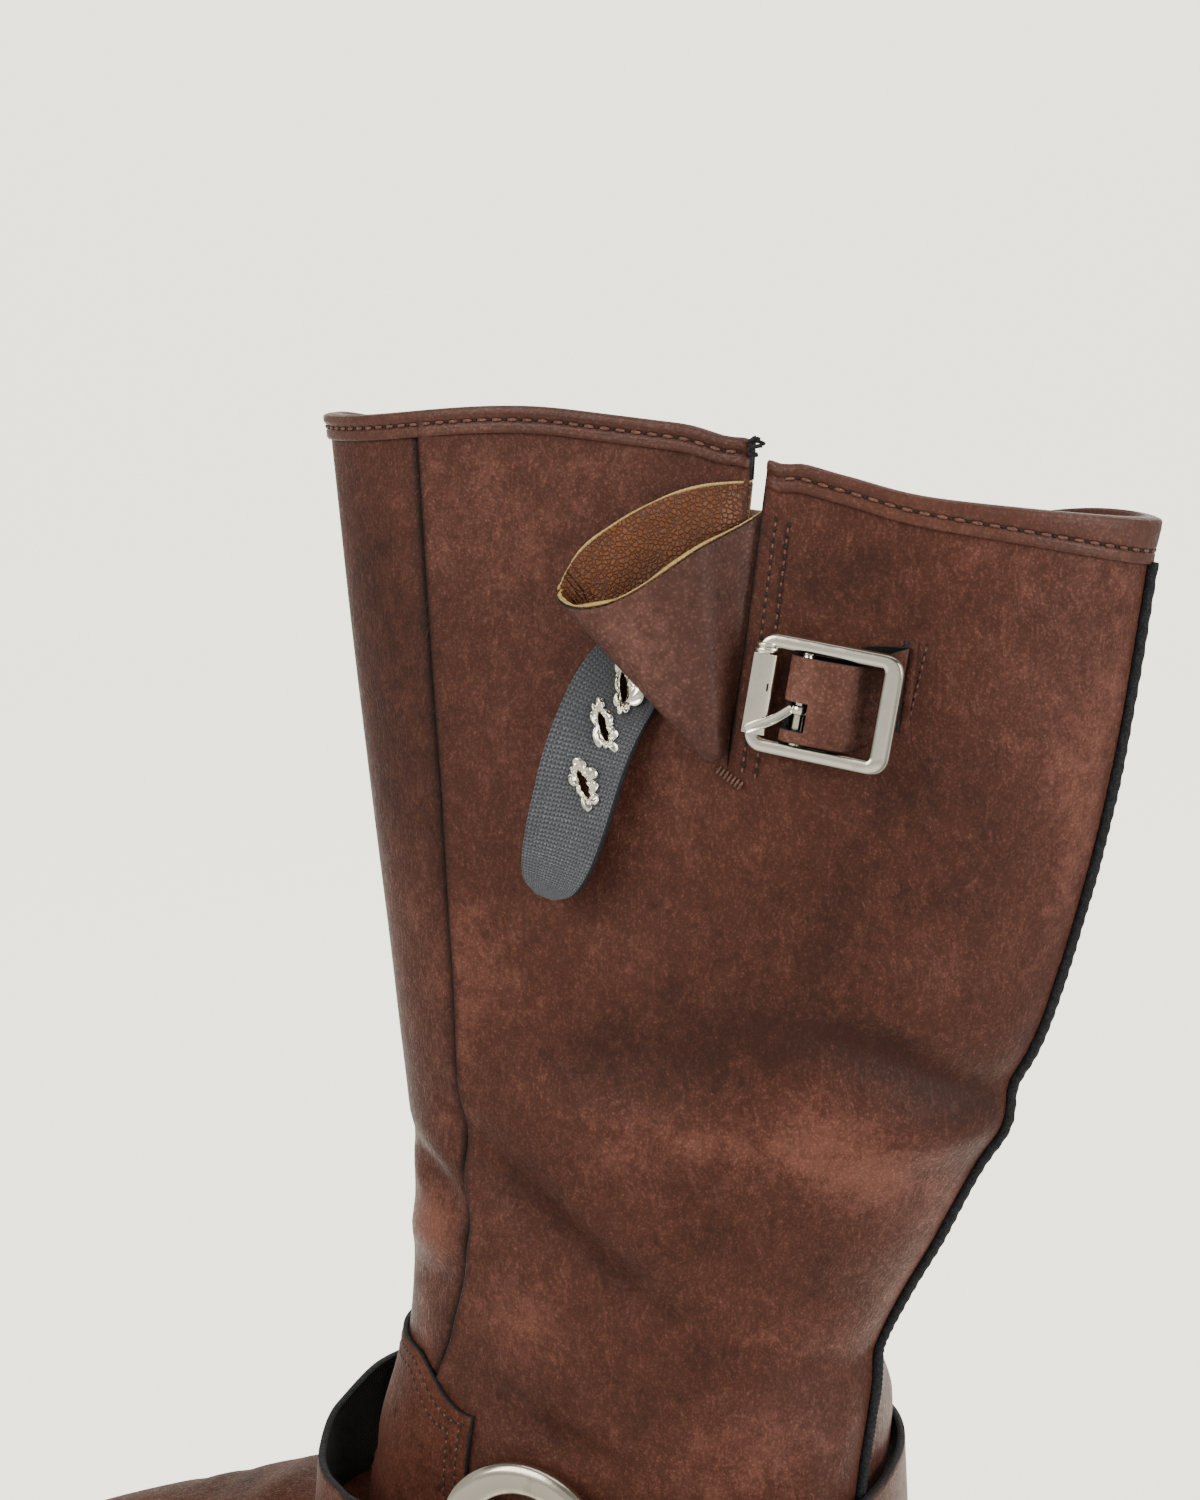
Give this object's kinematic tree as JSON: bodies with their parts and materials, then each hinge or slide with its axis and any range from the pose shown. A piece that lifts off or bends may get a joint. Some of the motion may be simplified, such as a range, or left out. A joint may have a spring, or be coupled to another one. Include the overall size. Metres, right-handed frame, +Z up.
{
  "type": "buckle boot",
  "caption": "Tall pull-on harness boot in brown leather, with a slit and folded gusset at the collar, a loose top strap and buckle, ankle straps on round rings and a block heel.",
  "frame": {"origin": "on the floor, under the middle of the heel's top lift", "axes": "+Z up, toe towards -X, outer side with the buckle towards -Y"},
  "size_m": [0.3193, 0.0996, 0.3638],
  "materials": {
    "leather": "oil-waxed, mottled red brown",
    "knit": "grey knitted backing",
    "nickel": "bright nickel plate",
    "piping": "black cord",
    "rubber": "matt black",
    "edge": "dark stained sole edge",
    "insole": "tan lining leather"
  },
  "bodies": {
    "boot": {"outsole": "rubber", "midsole": "edge", "insole": "insole", "heel": "edge", "top_lift": "rubber", "upper": "leather", "vamp_overlay": "leather", "collar_binding": "leather", "back_piping": "piping", "gusset": "leather", "top_strap": "knit", "eyelet_1": "nickel", "eyelet_2": "nickel", "eyelet_3": "nickel", "buckle_frame": "nickel", "buckle_tab": "leather", "ring_outer": "nickel", "ring_inner": "nickel", "front_strap": "leather", "back_strap": "leather", "down_strap_outer": "leather", "down_strap_inner": "leather"},
    "prong": {"buckle_prong": "nickel"}
  },
  "joints": [
    {"name": "prong_swing", "type": "hinge", "parent": "boot", "child": "prong", "pos_m": [0.01867, -0.03794, 0.30304], "axis": [0.151, 0.0353, 0.9879], "range_deg": [0, 80]}
  ]
}
